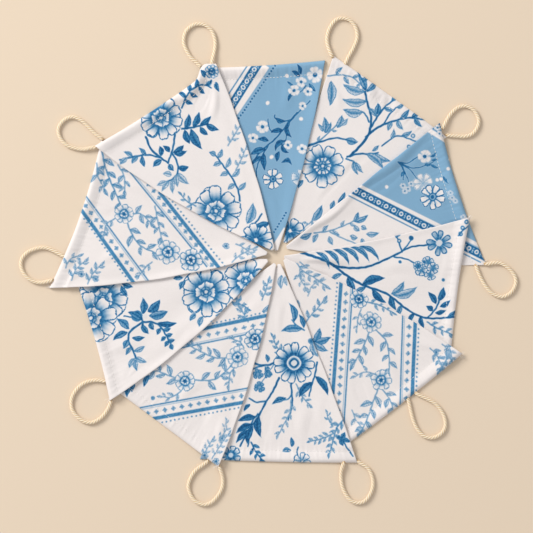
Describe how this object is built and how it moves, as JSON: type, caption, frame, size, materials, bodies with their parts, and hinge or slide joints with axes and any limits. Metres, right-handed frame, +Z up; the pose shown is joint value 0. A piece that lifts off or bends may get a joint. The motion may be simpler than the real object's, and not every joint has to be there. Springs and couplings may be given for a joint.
{
  "type": "fabric bunting",
  "caption": "Triangular printed cotton flags on a twisted cord, fanned out flat with their hems at the rim and cord loops between them.",
  "frame": {"origin": "middle of the flags' outline, on the surface that the bunting lies on", "axes": "+Z up out of the surface, +Y towards the hem of flag_01, +X to the right as seen from above"},
  "size_m": [0.4981, 0.4896, 0.0081],
  "materials": {
    "white_print": "matt cotton with a blue floral print",
    "blue_print": "matt cotton, light blue with white and dark blue flowers",
    "cord": "matt twisted natural cotton"
  },
  "bodies": {
    "root": {"flag_01": "blue_print", "flag_02": "white_print", "flag_03": "blue_print", "flag_04": "white_print", "flag_05": "white_print", "flag_06": "white_print", "flag_07": "white_print", "flag_08": "white_print", "flag_09": "white_print", "flag_10": "white_print", "cord_loop_01": "cord", "cord_loop_02": "cord", "cord_loop_03": "cord", "cord_loop_04": "cord", "cord_loop_05": "cord", "cord_loop_06": "cord", "cord_loop_07": "cord", "cord_loop_08": "cord", "cord_loop_09": "cord", "cord_loop_10": "cord"}
  },
  "joints": []
}
